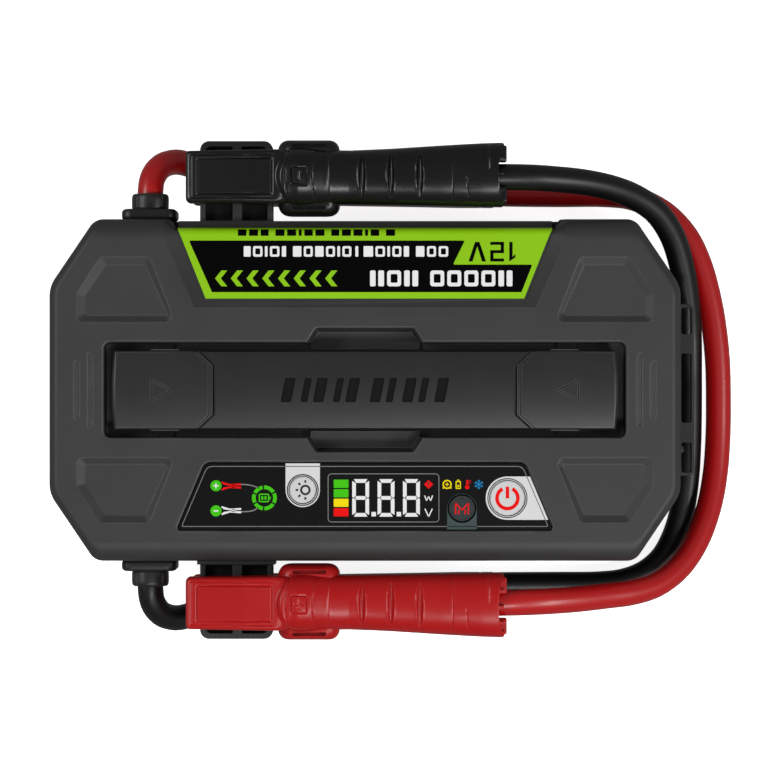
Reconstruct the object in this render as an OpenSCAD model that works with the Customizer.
// Portable car jump starter: octagonal power-pack case with a pull-up strap
// handle, a keypad and display, two parked battery clamps and their captive
// cables. Millimetres, +Z up, origin on the resting plane below the middle of
// the case; +X is the port end, +Y the labelled long side.

/* [Case] */
// Overall length of the case
body_l = 240; // [238:0.5:242]
// Overall width of the case
body_w = 130; // [129:0.5:131]
// Height of the top face above the resting plane
body_h = 55; // [54:0.5:56]
// Height of the parting line between the two case halves
part_z = 30; // [29:0.5:31]
// Wall thickness of both case halves
wall = 2.6; // [2.2:0.1:2.8]
// Width of the rounded slope along the long top edges
slope_w = 8; // [7:0.5:9]
// Width of the rounding along the short and cut-off top edges
end_w = 4; // [3:0.5:4.5]

/* [Top face relief] */
// Depth of the four corner pads
pad_d = 1.5; // [1:0.1:1.8]
// Depth of the slim end slots
slot_d = 0.8; // [0.6:0.1:1.2]
// Length of the handle channel
channel_l = 198.4; // [197:0.2:200]
// Width of the handle channel
channel_w = 36; // [35.5:0.1:36.5]
// Depth of the handle channel
channel_d = 12; // [11.5:0.1:12.5]
// Depth of the keypad recess
panel_d = 2; // [1.8:0.1:2.2]

/* [Strap handle] */
// Length of the strap and its end covers
handle_l = 193; // [190:0.5:194]
// Width of the strap
strap_w = 30; // [28:0.5:31]
// How far the middle of the strap lifts
strap_lift = 20; // [14:1:22]

/* [Clamps and cables] */
// Outer diameter of the battery cables
cable_d = 10; // [9:0.5:10]
// Distance of the clamp centrelines from the middle of the case
clamp_y = 80.5; // [80.2:0.1:81]
// Height of the clamp pivots
pivot_z = 41.5; // [41.5:0.1:42]
// Diameter of the clamp pivot pins
pin_d = 5; // [4.8:0.1:5.2]
// Thickness of the parking docks that the jaws close on
dock_t = 9; // [8.8:0.1:9]

/* [Hidden] */
$fn = 48;
hl = body_l / 2;
hw = body_w / 2;
gland_x = -83;
gland_z = 30;
pivot_x = -21.6;
dock_x0 = -63.4;
dock_x1 = -35.6;
ch_x = channel_l / 2;
ch_y = channel_w / 2;
ch_z = body_h - channel_d;
panel_z = body_h - panel_d;
crown = 1.4;
cov_in = 58.5;
cov_out = handle_l / 2;
base_x = 98;
base_y = 46;
keys = [["power", [53.9, -40.9], 7.2], ["light", [-23.5, -37.8], 5.6], ["mode", [36.7, -44.8], 4.8]];
bosses = [[108, 30], [-108, 30], [108, -30], [-108, -30], [0, 58.2], [0, -58.2]];
// Routes of the two cables, gland to clamp, hand-laid: bend down off the
// gland, run on the floor below the other clamp, round the port end, and rise
// over the other cable to the clamp handle.
route_red = [
    [-83, 62, 30], [-83, 70, 30], [-83, 76.2, 30], [-82.3, 81.8, 28.4], [-79.4, 86.6, 24.6],
    [-74, 88.8, 19.2], [-67, 87.6, 13.4], [-58.4, 84.8, 8.6], [-47, 82, 5.6], [-30, 79.8, 5],
    [-8, 78.6, 5], [15, 78.2, 5], [36, 77.8, 5], [56, 77.2, 5], [76, 77, 5], [94, 77, 5],
    [104, 76, 5], [112, 73, 5], [119.4, 68.2, 5], [126.6, 60, 5], [131.4, 50, 5], [134.6, 39, 5],
    [137, 26.6, 5], [138.6, 12, 5], [139, -4, 5], [138.8, -18, 5.2], [137.6, -32.4, 6.8],
    [134.6, -46.2, 10.6], [129.2, -59, 16], [121.8, -68.8, 22], [112.8, -75, 28.4], [102.6, -77.8, 34.8],
    [91.6, -78.8, 41], [79.6, -79.6, 48.2], [67.6, -80, 54.2], [56, -80.2, 57.4], [46, -80.3, 57.6],
    [37, -80.3, 57.6]];
route_black = [
    [-83, -62, 30], [-83, -70, 30], [-83, -76.2, 30], [-82.3, -81.8, 28.4], [-79.4, -86.6, 24.6],
    [-74, -88.8, 19.2], [-67, -87.6, 13.4], [-58.4, -84.8, 8.6], [-47, -82, 5.6], [-30, -79.8, 5],
    [-8, -78.4, 5], [15, -77.6, 5], [36, -77, 5], [56, -76.7, 5], [76, -76.6, 5], [92, -76.4, 5],
    [102, -75.2, 5], [110.4, -71.8, 5], [117, -66, 5], [121.6, -57.6, 5], [124.7, -47.4, 5],
    [126.4, -36, 5], [127.3, -22, 5], [127.6, -6, 5], [127.6, 8, 5], [127.4, 20, 6.4],
    [126.5, 32, 10.2], [124, 46, 16], [119.4, 59.4, 22.6], [112.6, 68.6, 29], [104, 74, 35],
    [94.4, 77.2, 41.2], [84, 79, 47], [73.4, 79.8, 52], [63.6, 80.2, 55.8], [54.6, 80.3, 57.4],
    [46, 80.3, 57.6], [37, 80.3, 57.6]];

// ---------- helpers ----------
function unit(v) = v / norm(v);
// outline with each corner i rounded to radius R[i] by n chords
function rounded(P, R, n = 4) = [for (i = [0:len(P) - 1])
    let (N = len(P), b = P[i], u = unit(P[(i + N - 1) % N] - b), v = unit(P[(i + 1) % N] - b),
        h = acos(max(-1, min(1, u * v))) / 2, c = b + unit(u + v) * R[i] / sin(h),
        p = b + u * R[i] / tan(h), q = b + v * R[i] / tan(h),
        a0 = atan2(p.y - c.y, p.x - c.x), a1 = atan2(q.y - c.y, q.x - c.x),
        d = a1 - a0 > 180 ? a1 - a0 - 360 : a1 - a0 < -180 ? a1 - a0 + 360 : a1 - a0)
    for (k = [0:n]) c + R[i] * [cos(a0 + d * k / n), sin(a0 + d * k / n)]];
function same(r, n) = [for (i = [1:n]) r];
function at_z(P, z) = [for (p = P) [p.x, p.y, z]];
function at_x(P, x) = [for (p = P) [x, p.x, p.y]];
function box2(x0, y0, x1, y1) = [[x1, y0], [x1, y1], [x0, y1], [x0, y0]];
function rbox(x0, y0, x1, y1, r, n = 4) = rounded(box2(x0, y0, x1, y1), same(r, 4), n);
// closed skin over a stack of rings that all have the same number of points
module loft(rings) {
    N = len(rings[0]);
    M = len(rings);
    polyhedron(
        points = [for (r = rings) each r],
        faces = concat([[for (i = [0:N - 1]) i]],
            [[for (i = [N - 1:-1:0]) (M - 1) * N + i]],
            [for (j = [0:M - 2], i = [0:N - 1]) each [
                [j * N + i, (j + 1) * N + i, (j + 1) * N + (i + 1) % N],
                [j * N + i, (j + 1) * N + (i + 1) % N, j * N + (i + 1) % N]]]));
}
// tube along a list of points, one ring of s sides at each
function ring_at(P, i, r, s) = let (
        t = unit(P[min(i + 1, len(P) - 1)] - P[max(i - 1, 0)]),
        n = unit(cross(t, [0, 0, 1])), b = cross(n, t))
    [for (k = [0:s - 1]) P[i] + r * (cos(360 * k / s) * n + sin(360 * k / s) * b)];
module sweep(P, r, s) loft([for (i = [0:len(P) - 1]) ring_at(P, len(P) - 1 - i, r, s)]);
// plates cut in the XZ and YZ planes
module plate_y(y0, y1) translate([0, y1, 0]) rotate([90, 0, 0]) linear_extrude(y1 - y0) children();
module plate_x(x0, x1) translate([x0, 0, 0]) rotate([90, 0, 90]) linear_extrude(x1 - x0) children();
module block(a, b) translate(a) cube(b - a);
module rod_y(x, z, y0, y1, r) translate([x, y0, z]) rotate([-90, 0, 0]) cylinder(r = r, h = y1 - y0);
module rod_x(x0, x1, y, z, r) translate([x0, y, z]) rotate([0, 90, 0]) cylinder(r = r, h = x1 - x0);
module four() for (sx = [0, 1], sy = [0, 1]) mirror([sx, 0, 0]) mirror([0, sy, 0]) children();

// ---------- case outline ----------
cn = unit([25.6, 17.3]);
cd = cn.x * hl + cn.y * (hw - 25.6);
function octagon(ix, iy, ic, k = 1) = let (x = hl - ix, y = hw - iy, c = cd - ic,
        ya = (c - cn.x * x) / cn.y, xb = (c - cn.y * y) / cn.x)
    rounded([[x, -ya], [x, ya], [xb, y], [-xb, y], [-x, ya], [-x, -ya], [-xb, -y], [xb, -y]],
        [12, 12, 6, 6, 12, 12, 6, 6] * k, 4);
// outer skin of the top half, pulled in by e all over; its edges are quarter
// ellipses, slope_w high, drawn through the angles in edge_a
edge_a = [0, 20, 38, 54, 68, 80, 90];
module top_skin(e, z0) loft(concat([at_z(octagon(e, e, e, 1 - e / 12), z0)],
    [for (a = edge_a) let (k = 1 - cos(a)) at_z(octagon(e + end_w * k, e + slope_w * k, e + end_w * k,
        1 - e / 12), body_h - e - slope_w * (1 - sin(a)))]));
// The label lies in a recess with sloping sides that crosses the top face, then
// folds down over the long edge round the axis fold_y, fold_z.
label_edge = [[-71.2, 62], [-60.3, 34.6], [60.3, 34.6], [71.2, 62]];
fold_y = 58.6;
fold_z = 51.5;
rec_r = 1.9;
function rec_ring(xo, yo, zo, xi, yi, zi, n) =
    [[xo, yo + n.x, zo + n.y], [xo, yo, zo], [xi, yi, zi], [-xi, yi, zi], [-xo, yo, zo], [-xo, yo + n.x, zo + n.y]];
module label_recess() loft(concat(
    [rec_ring(64.6, 30.9, body_h + 0.05, 60.6, 34.4, fold_z + rec_r, [-17, 8])],
    [for (q = [[90, 75.7, 70.4], [60, 76.5, 70.8], [40, 76.8, 71], [20, 76.6, 71.2], [0, 76, 71.4]])
        rec_ring(q[1], hw + 0.05 - slope_w * (1 - cos(q[0])), body_h + 0.05 - slope_w * (1 - sin(q[0])),
            q[2], fold_y + rec_r * cos(q[0]), fold_z + rec_r * sin(q[0]), 8 * [cos(q[0]), sin(q[0])])],
    [for (z = [44, part_z - 1]) rec_ring(74.2, hw + 0.05, z, 71.5, fold_y + rec_r, z, [8, 0])]));
panel_edge = [[-71.5, -53.2], [71.5, -53.2], [60.5, -27.3], [-60.5, -27.3]];
function grow2(P, d) = [for (p = P) p + [sign(p.x) * d, p.y > -40 ? d : -d]];

module top_case() color([0.25, 0.26, 0.27]) {
    difference() {
        union() {
            difference() {
                top_skin(0, part_z);
                top_skin(wall, part_z - 1);
            }
            // floor and walls of the handle channel
            block([-ch_x - wall, -ch_y - wall, ch_z - wall], [ch_x + wall, ch_y + wall, body_h - 1]);
            block([-24, -26, ch_z], [24, 26, body_h - 1]);
            // backing of the keypad recess
            translate([0, 0, panel_z - 2.4]) linear_extrude(3) polygon(grow2(panel_edge, 2));
            // backing of the label recess
            block([-74.9, 57, part_z + 1.8], [74.9, 62.6, 52.5]);
            translate([0, 0, 50.6]) linear_extrude(2.4) polygon([[-76, 58], [-65, 30], [65, 30], [76, 58]]);
            for (b = bosses) translate([b.x, b.y, part_z]) cylinder(r = 3.6, h = abs(b.y) > 40 ? 16 : 22.6);
            // web that ties the front middle boss to the long wall
            block([-1.2, -hw + 1, part_z + 1.6], [1.2, -58, 44]);
        }
        translate([0, 0, ch_z]) linear_extrude(20) polygon(rbox(-ch_x, -ch_y, ch_x, ch_y, 2));
        for (s = [-1, 1]) scale([1, s, 1]) translate([0, 0, ch_z + 3])
            linear_extrude(20) polygon([[-22, ch_y - 1], [22, ch_y - 1], [22, ch_y], [18.5, 23.4], [-18.5, 23.4], [-22, ch_y]]);
        // corner pads with sloping sides
        four() loft([
            at_z(rounded([[105.9, 28.1], [105.9, 35.6], [98, 47.4], [83.1, 47.4], [74.4, 28.1]], same(1, 5)), body_h - pad_d),
            at_z(rounded([[109.5, 24.7], [109.5, 36.7], [100.6, 50.9], [81, 50.9], [71, 24.7]], same(1, 5)), body_h + 0.05)]);
        // twin slots at each end
        for (s = [-1, 1]) scale([s, 1, 1]) translate([0, 0, body_h - slot_d]) {
            linear_extrude(5) polygon([[108, -10], [109.8, -11], [109.8, 11], [108, 10]]);
            linear_extrude(5) polygon([[103, -13], [104.7, -14.4], [104.7, 14.4], [103, 13]]);
        }
        // keypad recess, its key holes and display window
        translate([0, 0, panel_z]) linear_extrude(10) polygon(panel_edge);
        for (k = keys) translate([k[1].x, k[1].y, 40]) cylinder(r = k[2] + 0.35, h = 20);
        block([-13.7, -49.7, 40], [27.8, -31.9, 60]);
        // label recess, open at the long edge
        label_recess();
        // cable glands, lamp window
        rod_y(gland_x, gland_z, -hw - 5, hw + 5, 6.4);
        for (s = [-1, 1]) scale([1, s, 1]) block([gland_x - 8, hw - 8, part_z - 1], [gland_x + 8, hw - wall, gland_z + 8.6]);
        block([-hl - 1, -19.3, 34.7], [-hl + wall + 1, 19.3, 47.3]);
        // screw holes, blind from below
        for (b = bosses) translate([b.x, b.y, part_z - 1]) cylinder(r = 1.3, h = 14);
        // dock screw holes
        for (s = [-1, 1], x = [-58.5, -40.5]) rod_y(x, 41.5, s > 0 ? 50 : -hw - 5, s > 0 ? hw + 5 : -50, 1.7);
        // snap windows of the strap covers
        for (s = [-1, 1], t = [-1, 1]) scale([s, t, 1]) block([71, ch_y - 0.5, 47], [82, ch_y + 1.2, 50]);
    }
}

module bottom_case() color([0.22, 0.23, 0.24]) difference() {
    union() {
        difference() {
            loft([at_z(octagon(4, 4, 4), 1.6), at_z(octagon(1.6, 1.6, 1.6), 2.6), at_z(octagon(0.5, 0.5, 0.5), 5),
                at_z(octagon(0, 0, 0), 9), at_z(octagon(0, 0, 0), part_z)]);
            loft([at_z(octagon(5.4, 5.4, 5.4, 0.7), 4.4), at_z(octagon(wall, wall, wall, 0.8), 8),
                at_z(octagon(wall, wall, wall, 0.8), part_z + 1)]);
        }
        for (b = bosses) translate([b.x, b.y, 3]) cylinder(r = 3.8, h = part_z - 3);
        // low ribs under the battery tray
        for (x = [-70, -35, 0, 35]) block([x - 1, -45, 4], [x + 1, 45, 5.6]);
        // hinge lugs of the port cover
        for (z = [11.2, 26.6]) translate([0, 0, z]) linear_extrude(2) polygon([[hl - 1, -26], [hl + 1.8, -25.4],
            [hl + 3.2, -23.4], [hl + 2.6, -21.6], [hl - 1, -21.4]]);
    }
    for (b = bosses) translate([b.x, b.y, -1]) {
        cylinder(r = 1.7, h = 40);
        cylinder(r = 3.2, h = 7);
    }
    linear_extrude(2.8) difference() {
        polygon(rbox(-base_x, -base_y, base_x, base_y, 16, 6));
        polygon(rbox(7 - base_x, 7 - base_y, base_x - 7, base_y - 7, 10, 6));
    }
    rod_y(gland_x, gland_z, -hw - 5, hw + 5, 6.4);
    // port opening
    block([hl - wall - 1, -21, 13.3], [hl + 1, 21, 26.2]);
    translate([hl + 1.6, -23.4, 10]) cylinder(r = 0.8, h = 20);
}

// seal cord in the joint of the two halves
module case_seal() color([0.06, 0.06, 0.06]) difference() {
    translate([0, 0, part_z - 1.4]) linear_extrude(2.8) polygon(octagon(wall + 0.1, wall + 0.1, wall + 0.1, 0.8));
    translate([0, 0, part_z - 3]) linear_extrude(6) polygon(octagon(wall + 1.5, wall + 1.5, wall + 1.5, 0.75));
    block([gland_x - 10, -hw, 20], [gland_x + 10, hw, 40]);
    for (b = bosses) translate([b.x, b.y, 20]) cylinder(r = 4, h = 20);
}
module case_screws() color([0.55, 0.55, 0.57]) for (b = bosses) translate([b.x, b.y, 3.6]) difference() {
    union() {
        cylinder(r = 2.9, h = 2.3);
        cylinder(r = 1.25, h = 36);
    }
    translate([0, 0, -1]) cylinder(r = 1.2, h = 2, $fn = 6);
}
// one-piece non-slip ring let into the underside
module rubber_base() color([0.07, 0.07, 0.07]) difference() {
    linear_extrude(2.8) polygon(rbox(0.1 - base_x, 0.1 - base_y, base_x - 0.1, base_y - 0.1, 16, 6));
    translate([0, 0, -1]) linear_extrude(5) polygon(rbox(6.9 - base_x, 6.9 - base_y, base_x - 6.9, base_y - 6.9, 10, 6));
    // drain notches in the outer half of the tread
    for (s = [-1, 1], x = [-60, 0, 60]) scale([1, s, 1]) block([x - 2, base_y - 3.5, -1], [x + 2, base_y + 1, 0.8]);
}

module label_plate() color([0.53, 0.74, 0.12]) intersection() {
    translate([0, 0, 40]) linear_extrude(30) polygon(label_edge);
    plate_x(-80, 80) polygon(concat(
        [[30, fold_z + rec_r], [fold_y, fold_z + rec_r]],
        [for (a = [60, 40, 20, 0]) [fold_y + rec_r * cos(a), fold_z + rec_r * sin(a)]],
        [[fold_y + rec_r, 48], [fold_y + rec_r + 1, 48]],
        [for (a = [0, 20, 40, 60, 75, 90]) [fold_y + (rec_r + 1) * cos(a), fold_z + (rec_r + 1) * sin(a)]],
        [[30, fold_z + rec_r + 1]]));
}

// ---------- keypad ----------
module control_panel() color([0.07, 0.07, 0.08]) difference() {
    translate([0, 0, panel_z]) linear_extrude(1.3)
        polygon([[-71.2, -53], [71.2, -53], [60.4, -27.5], [-60.4, -27.5]]);
    for (k = keys) translate([k[1].x, k[1].y, 40]) cylinder(r = k[2] + 0.35, h = 20);
}
module display_module() color([0.03, 0.03, 0.03]) {
    difference() {
        block([-13.4, -49.4, 46.9], [27.5, -32.2, panel_z - 0.05]);
        for (i = [0:2]) block([-5.6 + 9.6 * i, -48.4, 50.4], [2.6 + 9.6 * i, -33.2, 60]);
    }
    for (i = [0:2]) block([-4.8 + 9.6 * i, -47.9, 50.4], [1.6 + 9.6 * i, -33.7, 52.4]);
}
module control_board() color([0.05, 0.25, 0.12]) {
    difference() {
        block([-60, -53, 45.2], [66, -27.5, 46.8]);
        for (x = [-56, 62]) translate([x, -50, 40]) cylinder(r = 1.6, h = 10);
    }
    for (k = keys) translate([k[1].x, k[1].y, 0]) {
        block([-3, -3, 46.8], [3, 3, 48.2]);
        translate([0, 0, 48.2]) cylinder(r = 1.6, h = 0.6);
    }
    block([-50, -38, 46.8], [-42, -30, 48]);
    block([-48, -50, 46.8], [-34, -44, 48.4]);
}
module key(k) difference() {
    translate([k[1].x, k[1].y, 0]) {
        translate([0, 0, 52.4]) cylinder(r = k[2], h = panel_z + 1.5 - 52.4);
        translate([0, 0, 50.2]) cylinder(r = k[2] - 0.6, h = 2.4);
        translate([0, 0, 49.4]) cylinder(r = 1.8, h = 1);
        // retaining lugs below the case skin
        for (a = [45, 225]) rotate(a) block([0, -1.2, 49.5], [k[2] + 1.2, 1.2, 50.3]);
    }
    translate([k[1].x, k[1].y, panel_z + 1.3]) difference() {
        cylinder(r = k[2] - 0.5, h = 1);
        translate([0, 0, -1]) cylinder(r = k[2] - 1, h = 3);
    }
}
module button_power() color([0.85, 0.85, 0.85]) key(keys[0]);
module button_light() color([0.85, 0.85, 0.85]) key(keys[1]);
module button_mode() color([0.13, 0.2, 0.22]) key(keys[2]);

// ---------- strap handle ----------
// crowned strap section between heights z0 and z1
function strap_section(z0, z1, w = strap_w) = let (h = w / 2) concat(
    [[-h, z0 + 0.6], [-h + 0.6, z0], [h - 0.6, z0], [h, z0 + 0.6]],
    [for (i = [0:8]) let (y = h * (1 - i / 4)) [y, z1 - crown * (y / h) * (y / h)]]);
module strap_grip() color([0.2, 0.2, 0.21]) plate_x(-24, 24) polygon(strap_section(48.8, 55.4));
module strap_flex(s) color([0.2, 0.2, 0.21]) scale([s, 1, 1]) {
    intersection() {
        plate_x(24, 66) polygon(strap_section(48.8, 55.4));
        translate([0, 0, 40]) linear_extrude(30) polygon([[20, -16], [63.5, -16], [63.5, -14.6], [57.5, -9.2], [57.5, 9.2], [63.5, 14.6], [63.5, 16], [20, 16]]);
    }
    block([57.4, -9, 48.8], [70, 9, 50.4]);
}
module strap_flex_left() strap_flex(-1);
module strap_flex_right() strap_flex(1);
module strap_slider(s) color([0.6, 0.6, 0.62]) scale([s, 1, 1]) difference() {
    block([70, -9, 48.8], [92, 9, 50.2]);
    for (x = [81.9, 87.2]) translate([x, 0, 40]) cylinder(r = 2.75, h = 20);
    block([81.9, -2.75, 40], [87.2, 2.75, 60]);
}
module strap_slider_left() strap_slider(-1);
module strap_slider_right() strap_slider(1);
module strap_cover(s) color([0.2, 0.2, 0.21]) scale([s, 1, 1]) difference() {
    union() {
        intersection() {
            plate_x(50, cov_out) polygon(strap_section(51.4, 55.5));
            translate([0, 0, 40]) linear_extrude(30) polygon([[cov_in, -9.6], [64.4, -15], [66, -16], [cov_out, -16],
                [cov_out, 16], [66, 16], [64.4, 15], [cov_in, 9.6]]);
        }
        for (t = [-1, 1]) scale([1, t, 1]) {
            block([66, 10.4, ch_z], [cov_out - 1, 14.8, 51.6]);
            block([71.5, 14.6, 47.6], [81.5, ch_y + 0.9, 49.4]);
        }
        block([93, -14.8, ch_z], [cov_out - 1, 14.8, 51.6]);
    }
    // engraved pointer
    translate([0, 0, 55]) linear_extrude(2) difference() {
        polygon([[72.7, 0], [80.9, -4.2], [80.9, 4.2]]);
        polygon([[74.4, 0], [80.1, -2.9], [80.1, 2.9]]);
    }
    translate([82, 0, 40]) cylinder(r = 2.55, h = 13);
}
module strap_cover_left() strap_cover(-1);
module strap_cover_right() strap_cover(1);
module strap_pins() color([0.6, 0.6, 0.62]) for (s = [-1, 1]) translate([82 * s, 0, 0]) {
    translate([0, 0, ch_z]) cylinder(r = 4, h = 2);
    translate([0, 0, ch_z + 1]) cylinder(r = 2.5, h = 8.6);
}

// ---------- docks and glands ----------
module dock(y0, rail) difference() {
    union() {
        translate([0, 0, pivot_z - dock_t / 2]) linear_extrude(dock_t)
            polygon(rounded([[dock_x0, y0], [dock_x1, y0], [dock_x1, 96], [dock_x0, 96]], [0.3, 0.3, 3, 3]));
        if (rail) block([-71, y0, 33], [71, y0 + 3.8, 47.6]);
        else block([dock_x0 - 1, y0, 35.5], [dock_x1 + 1, y0 + 1.4, 47.5]);
    }
    for (x = [[dock_x0 + 2.7, -50.8], [-47.9, dock_x1 - 2.7]], z = [pivot_z + 1.3, pivot_z - dock_t])
        translate([0, 0, z]) linear_extrude(dock_t - 1.3) polygon(rbox(x[0], hw + 2, x[1], 93.3, 1));
    for (x = [-58.5, -40.5]) rod_y(x, 41.5, y0 - 1, y0 + 3.6, 1.0);
}
module clamp_dock_black() color([0.16, 0.16, 0.17]) dock(fold_y + rec_r, true);
module clamp_dock_red() color([0.16, 0.16, 0.17]) mirror([0, 1, 0]) dock(hw, false);
module dock_screws() color([0.55, 0.55, 0.57]) for (s = [-1, 1], x = [-58.5, -40.5]) {
    y = s > 0 ? fold_y + rec_r : hw;
    w = s > 0 ? 57 : hw - wall;
    scale([1, s, 1]) {
        rod_y(x, 41.5, w - 0.1, y + 2.4, 0.95);
        rod_y(x, 41.5, w - 1.8, w, 2.6);
    }
}
module gland() difference() {
    union() {
        plate_y(hw, hw + 4.6) polygon(rbox(gland_x - 10.6, gland_z - 9, gland_x + 10.6, gland_z + 9, 4));
        rod_y(gland_x, gland_z, hw - 5, hw + 1, 6.25);
        rod_y(gland_x, gland_z, hw + 1, hw + 9.2, 7.3);
        rod_y(gland_x, gland_z, hw + 9, hw + 10.6, 6.9);
        plate_y(hw - 6.2, hw - wall - 0.1) polygon(rbox(gland_x - 7.5, gland_z - 8, gland_x + 7.5, gland_z + 8, 3));
    }
    rod_y(gland_x, gland_z, 40, hw + 20, 5.05);
    rod_y(gland_x, gland_z, hw + 9.8, hw + 11, 5.8);
}
module cable_gland_red() color([0.12, 0.12, 0.13]) gland();
module cable_gland_black() color([0.12, 0.12, 0.13]) mirror([0, 1, 0]) gland();
module cable_red() color([0.72, 0.07, 0.07]) sweep(route_red, cable_d / 2, 10);
module cable_black() color([0.05, 0.05, 0.05]) sweep(route_black, cable_d / 2, 10);

// ---------- clamps, drawn on the +Y side ----------
// U section of half-width w between z0 and z1, corners r at the closed side
function u_up(w, z0, z1, r, n = 4) = rounded([[-w, z0], [w, z0], [w, z1], [-w, z1]] + same([clamp_y, 0], 4), [0.4, 0.4, r, r], n);
function u_dn(w, z0, z1, r, n = 4) = rounded([[-w, z0], [w, z0], [w, z1], [-w, z1]] + same([clamp_y, 0], 4), [r, r, 0.4, 0.4], n);
up_x = [-22, -15, -6, 10, 28, 44, 52.5];
up_w = [10.4, 10.3, 10.1, 10.5, 11.2, 11.8, 12];
up_z0 = [47, 47.4, 48, 48.8, 49.6, 50, 50.2];
up_z1 = [61.6, 60.8, 60.6, 62, 63.8, 65.6, 66.4];
lo_x = [-16, -8, 4, 20, 36, 50];
lo_w = [9.4, 9.8, 10.2, 10.6, 11.2, 11.4];
lo_z0 = [24.5, 20.5, 17.5, 15.4, 13.8, 13];
lo_z1 = [35, 33.4, 31.6, 30, 28.8, 28.4];
module clamp_upper() difference() {
    union() {
        // jaw housing
        loft([at_x(u_up(9.2, 50.4, 57.2, 1.6), -67.6), at_x(u_up(9.8, 49.6, 58.2, 1.8), -66.8),
            at_x(u_up(10, 48.6, 60, 2), -46), at_x(u_up(10.2, 48, 60.6, 2.6), -31), at_x(u_up(10.4, 47, 61.6, 4), -22)]);
        loft([for (i = [0:len(up_x) - 1]) at_x(u_up(up_w[i], up_z0[i], up_z1[i], 5), up_x[i])]);
        // pivot ears and their rounded shoulders
        for (t = [-1, 1]) translate([0, clamp_y, 0]) scale([1, t, 1]) {
            plate_y(10.3, 13.9) polygon(rounded([[-28, 34], [-15.4, 34], [-10.4, 42], [-10.4, 52], [-15, 56.4],
                [-28, 56.4], [-32.6, 52], [-32.6, 42]], same(4, 8)));
            plate_y(9.8, 10.6) polygon([[-29, 47], [-14, 47], [-14, 55], [-29, 55]]);
        }
        // raised square key on the dome
        translate([0, clamp_y, 60]) linear_extrude(2.2) polygon(rbox(-27.4, -3, -22.2, 3, 0.8));
    }
    // hollow below the jaw housing, the dome and the handle
    translate([0, clamp_y, 0]) {
        block([-65.6, -7.8, 40], [-33, 7.8, 57]);
        block([-33.2, -7.9, 40], [-10, 7.9, 57.6]);
    }
    loft([for (i = [2:len(up_x) - 1]) at_x(u_up(up_w[i] - 2.3, up_z0[i] - 12, up_z1[i] - 2.4, 3), i == len(up_x) - 1 ? 60 : i == 2 ? -12 : up_x[i])]);
    block([-33.4, clamp_y - 10.2, 30], [-9, clamp_y + 10.2, 52]);
    // frame line of the jaw cover
    translate([0, clamp_y, 57.9]) linear_extrude(10) difference() {
        polygon(rbox(-64.2, -7.6, -34, 7.6, 1));
        polygon(rbox(-63.2, -6.6, -35, 6.6, 0.8));
    }
    // finger grooves
    for (x = [-1.1, 9.8, 20.7]) translate([x, clamp_y, 0])
        for (t = [-1, 1]) scale([1, t, 1]) hull() {
            translate([0, 1, 63.4 + x * 0.11]) sphere(r = 1.6, $fn = 24);
            translate([0, 7.5, 61.6 + x * 0.11]) sphere(r = 1.4, $fn = 24);
        }
    rod_y(pivot_x, pivot_z, clamp_y - 20, clamp_y + 20, pin_d / 2 + 0.02);
}
module clamp_lower() difference() {
    union() {
        // lower jaw
        loft([at_x(u_dn(8.8, 28.6, 33.6, 1.6), -66.6), at_x(u_dn(9.4, 27.6, 34.2, 2), -65.4),
            at_x(u_dn(9.8, 25.4, 34.6, 2.4), -48), at_x(u_dn(9.8, 24, 35, 3), -32), at_x(u_dn(9.6, 24.4, 35, 3), -15.9)]);
        loft([for (i = [0:len(lo_x) - 1]) at_x(u_dn(lo_w[i], lo_z0[i], lo_z1[i], 4), lo_x[i])]);
        // pivot ears inside the upper half's
        for (t = [-1, 1]) translate([0, clamp_y, 0]) scale([1, t, 1]) plate_y(6.6, 9.6)
            polygon(rounded([[-31, 30], [-13, 30], [-12.8, 41], [-17.5, 49.6], [-25.7, 49.6], [-30, 41]], [1, 1, 4, 4, 4, 4]));
    }
    translate([0, clamp_y, 0]) {
        block([-64.4, -7.6, 30.4], [-32, 7.6, 60]);
        block([-32.2, -6.6, 28], [-12, 6.6, 60]);
    }
    loft([for (i = [1:len(lo_x) - 1]) at_x(u_dn(lo_w[i] - 2.2, lo_z0[i] + 2.2, lo_z1[i] + 12, 2.4), i == len(lo_x) - 1 ? 47.8 : i == 1 ? -12.2 : lo_x[i])]);
    for (x = [0, 11, 22, 33]) translate([x, clamp_y, lo_z0[2] - 1.8 - x * 0.085]) rotate([90, 0, 0]) translate([0, 0, -8]) cylinder(r = 2, h = 16, $fn = 24);
    rod_y(pivot_x, pivot_z, clamp_y - 20, clamp_y + 20, pin_d / 2 + 0.06);
}
module jaw_upper() difference() {
    translate([0, clamp_y, 0]) {
        block([-65.2, -7.3, pivot_z + dock_t / 2 + 0.35], [-35, 7.3, 49.2]);
        block([-60, -4, 49], [-38, 4, 57]);
    }
    for (i = [0:8]) translate([-63.4 + 3.2 * i, 0, pivot_z + dock_t / 2 + 0.35]) rotate([0, 45, 0]) translate([-0.7, clamp_y - 12, -0.7]) cube([1.4, 24, 1.4]);
    rod_y(-42, 53, clamp_y - 10, clamp_y + 10, 1.5);
}
module jaw_lower() difference() {
    translate([0, clamp_y, 0]) {
        block([-64, -7.3, 32.4], [-35, 7.3, pivot_z - dock_t / 2 - 0.35]);
        block([-60, -4, 30.4], [-38, 4, 32.6]);
    }
    for (i = [0:8]) translate([-62.4 + 3.2 * i, 0, pivot_z - dock_t / 2 - 0.35]) rotate([0, 45, 0]) translate([-0.7, clamp_y - 12, -0.7]) cube([1.4, 24, 1.4]);
}
module pivot_pin() {
    rod_y(pivot_x, pivot_z, clamp_y - 14.4, clamp_y + 14.4, pin_d / 2);
    for (t = [-1, 1]) translate([pivot_x, clamp_y + 14 * t, pivot_z]) rotate([-90 * t, 0, 0])
        difference() {
            cylinder(r = 3.6, h = 1.2);
            translate([0, 0, 0.5]) cylinder(r = 1.2, h = 2);
        }
}
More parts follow.
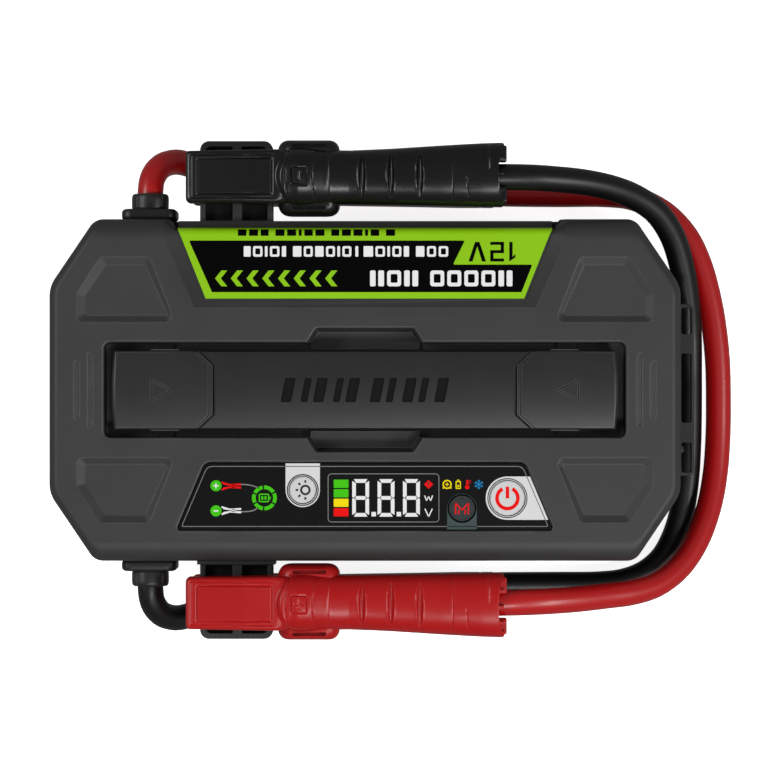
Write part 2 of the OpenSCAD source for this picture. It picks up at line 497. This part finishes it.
// torsion spring: coils round the pin, legs to both handles
function coil(r, p, turns, n) = [for (i = [0:turns * n]) let (a = 40 + 360 * i / n)
    [pivot_x + r * cos(a), clamp_y - p * turns / 2 + p * i / n, pivot_z + r * sin(a)]];
function y_ring(P, i, r, s) = let (
        t = unit(P[min(i + 1, len(P) - 1)] - P[max(i - 1, 0)]),
        n = unit(cross(t, [0, 1, 0])), b = cross(n, t))
    [for (k = [0:s - 1]) P[i] + r * (cos(360 * k / s) * n + sin(360 * k / s) * b)];
module clamp_spring() {
    c = coil(4.4, 2, 4.5, 14);
    P = concat([c[0] + [11, 0, 5.6], c[0] + [4, 0, 2]], c, [c[len(c) - 1] + [4, 0, -1.4], c[len(c) - 1] + [12, 0, -4.4]]);
    loft([for (i = [0:len(P) - 1]) y_ring(P, len(P) - 1 - i, 0.7, 6)]);
}
module cable_grip() difference() {
    translate([0, clamp_y, 0]) plate_x(39.5, 48.5) polygon(rbox(-8.6, 51.6, 8.6, 62.4, 2.4));
    rod_x(30, 60, 80.3, 57.6, cable_d / 2 + 0.05);
    for (t = [-1, 1]) translate([44, clamp_y + 7 * t, 45]) cylinder(r = 0.9, h = 10);
}
module clamp_upper_black() color([0.07, 0.07, 0.07]) clamp_upper();
module clamp_lower_black() color([0.07, 0.07, 0.07]) clamp_lower();
module jaw_upper_black() color([0.72, 0.42, 0.22]) jaw_upper();
module jaw_lower_black() color([0.72, 0.42, 0.22]) jaw_lower();
module pivot_pin_black() color([0.6, 0.6, 0.62]) pivot_pin();
module clamp_spring_black() color([0.6, 0.6, 0.62]) clamp_spring();
module cable_grip_black() color([0.07, 0.07, 0.07]) cable_grip();
module clamp_upper_red() color([0.72, 0.08, 0.08]) mirror([0, 1, 0]) clamp_upper();
module clamp_lower_red() color([0.72, 0.08, 0.08]) mirror([0, 1, 0]) clamp_lower();
module jaw_upper_red() color([0.72, 0.42, 0.22]) mirror([0, 1, 0]) jaw_upper();
module jaw_lower_red() color([0.72, 0.42, 0.22]) mirror([0, 1, 0]) jaw_lower();
module pivot_pin_red() color([0.6, 0.6, 0.62]) mirror([0, 1, 0]) pivot_pin();
module clamp_spring_red() color([0.6, 0.6, 0.62]) mirror([0, 1, 0]) clamp_spring();
module cable_grip_red() color([0.72, 0.08, 0.08]) mirror([0, 1, 0]) cable_grip();

// ---------- port end ----------
module port_guard() color([0.14, 0.14, 0.15]) difference() {
    translate([0, 0, 36]) linear_extrude(5.4)
        polygon(rounded([[hl, -33], [hl + 5.8, -33], [hl + 5.8, 33], [hl, 33]], [0.3, 2.4, 2.4, 0.3]));
    for (w = [[-31.6, -21.6], [-11.2, 13], [23, 31.6]]) translate([0, 0, 30]) linear_extrude(20)
        polygon(rbox(hl + 1.2, w[0], hl + 4.6, w[1], 1.2));
}
module port_cover() color([0.08, 0.08, 0.08]) difference() {
    union() {
        block([hl - 2.1, -20.6, 13.7], [hl + 0.1, 20.6, 25.8]);
        plate_x(hl, hl + 1.1) polygon(rbox(-21.8, 13.4, 22, 26.1, 2));
        block([hl + 0.1, -23.4, 13.6], [hl + 1.1, -21, 26.2]);
        translate([hl + 1.6, -23.4, 13.5]) cylinder(r = 1.5, h = 12.8);
        // pull lip
        block([hl + 0.9, 18.6, 17], [hl + 2.4, 20.4, 22.6]);
    }
    translate([hl + 1.6, -23.4, 10]) cylinder(r = 0.86, h = 20);
    block([hl - 3, -19, 15.2], [hl - 0.6, 19, 24.4]);
}
module port_hinge_pin() color([0.6, 0.6, 0.62]) translate([hl + 1.6, -23.4, 11.4]) cylinder(r = 0.78, h = 17);
module port_sockets() color([0.65, 0.65, 0.67]) {
    // USB-A, USB-C and DC sockets
    difference() {
        block([103.4, -17, 15.2], [116.9, -3, 22.4]);
        block([106, -16.2, 16], [118, -3.8, 21.6]);
    }
    block([105.8, -15.4, 19.2], [115, -4.6, 21]);
    difference() {
        plate_x(109, 116.9) polygon(rbox(0.6, 15.2, 9.8, 18.6, 1.6));
        plate_x(110.4, 118) polygon(rbox(1, 15.6, 9.4, 18.2, 1.2));
    }
    block([110.2, 2, 16.6], [115.8, 8.4, 17.2]);
    difference() {
        block([104, 12.2, 15.2], [116.9, 20.2, 23.8]);
        rod_x(106.4, 118, 16.2, 19.6, 3);
    }
    rod_x(106.2, 114, 16.2, 19.6, 0.8);
}
module port_board() color([0.05, 0.25, 0.12]) block([92, -20, 13.6], [116.6, 22, 15.2]);

// ---------- lamp end ----------
module lamp_lens() color([0.85, 0.88, 0.9, 0.6]) plate_x(-hl + 0.1, -hl + 2.5) polygon(rbox(-19.1, 34.9, 19.1, 47.1, 2));
module lamp_reflector() color([0.8, 0.8, 0.82]) difference() {
    block([-hl + 2.6, -18.6, 35.2], [-106.4, 18.6, 46.8]);
    for (y = [-9.4, 9.4]) translate([-106.3, y, 41]) rotate([0, -90, 0]) cylinder(r1 = 2.6, r2 = 5.4, h = 12);
}
module lamp_board() color([0.9, 0.9, 0.88]) {
    block([-106.3, -18.6, 35.2], [-104.7, 18.6, 46.8]);
    for (y = [-9.4, 9.4]) block([-107.6, y - 1.4, 39.6], [-106.2, y + 1.4, 42.4]);
}

// ---------- power electronics ----------
module battery_tray() color([0.13, 0.13, 0.14]) difference() {
    block([-91.5, -50, 5.7], [66, 50, 29.5]);
    block([-89.5, -48, 7.4], [64, 48, 40]);
    for (x = [-60, -12.5, 35]) block([x - 14, -60, 12], [x + 14, 60, 40]);
}
module battery_cells() color([0.35, 0.4, 0.5]) for (i = [0:3]) translate([0, 0, 7.6 + 5.9 * i])
    linear_extrude(5.4) polygon(rbox(-88.6, -47, 60, 47, 4));
module busbars() color([0.75, 0.72, 0.62]) for (i = [0:3], s = [-1, 1]) translate([0, 24 * s, 9.8 + 5.9 * i])
    block([60.1, -9, 0], [63.6, 9, 0.6]);
module main_board() color([0.04, 0.22, 0.1]) {
    difference() {
        block([-66, -50, 32.2], [98, 50, 33.8]);
        for (x = [-61, 92], y = [-40, 40]) translate([x, y, 30]) cylinder(r = 1.7, h = 6);
    }
    for (p = [[-40, 8, 16, 12, 3], [-6, -10, 12, 12, 2], [30, 18, 18, 8, 4], [58, -12, 10, 22, 4.5], [-30, -30, 14, 8, 5]])
        block([p[0], p[1], 33.8], [p[0] + p[2], p[1] + p[3], 33.8 + p[4]]);
    for (x = [5, 15, 25]) translate([x, -30, 33.8]) cylinder(r = 4, h = 5.6);
    for (s = [-1, 1]) scale([1, s, 1]) block([-57.6, 42, 33.8], [-48, 49.8, 42]);
}
module power_switches() color([0.1, 0.1, 0.1]) for (i = [0, 1], j = [0:5])
    block([72 + 12 * i, -39 + 14 * j, 33.8], [81 + 12 * i, -31 + 14 * j, 36.3]);
module heat_sink() color([0.65, 0.66, 0.68]) difference() {
    block([70, -46, 36.4], [95, 46, 40]);
    for (i = [0:10]) block([72 + 2.2 * i - 0.6, -60, 37.6], [72 + 2.2 * i + 0.6, 60, 50]);
}
module internal_leads() for (s = [-1, 1]) color(s > 0 ? [0.72, 0.07, 0.07] : [0.05, 0.05, 0.05])
    sweep([for (p = [[-83, 61, 30], [-83, 57, 30], [-80, 54.4, 32.6], [-74, 51.4, 36], [-66, 47.4, 38.2], [-58, 47, 38.4]]) [p.x, p.y * s, p.z]], 3.4, 8);

top_case();
bottom_case();
case_seal();
case_screws();
rubber_base();
label_plate();
control_panel();
display_module();
control_board();
button_power();
button_light();
button_mode();
strap_grip();
strap_flex_left();
strap_flex_right();
strap_slider_left();
strap_slider_right();
strap_cover_left();
strap_cover_right();
strap_pins();
clamp_dock_black();
clamp_dock_red();
dock_screws();
cable_gland_red();
cable_gland_black();
cable_red();
cable_black();
clamp_upper_black();
clamp_lower_black();
jaw_upper_black();
jaw_lower_black();
pivot_pin_black();
clamp_spring_black();
cable_grip_black();
clamp_upper_red();
clamp_lower_red();
jaw_upper_red();
jaw_lower_red();
pivot_pin_red();
clamp_spring_red();
cable_grip_red();
port_guard();
port_cover();
port_hinge_pin();
port_sockets();
port_board();
lamp_lens();
lamp_reflector();
lamp_board();
battery_cells();
battery_tray();
busbars();
main_board();
power_switches();
heat_sink();
internal_leads();
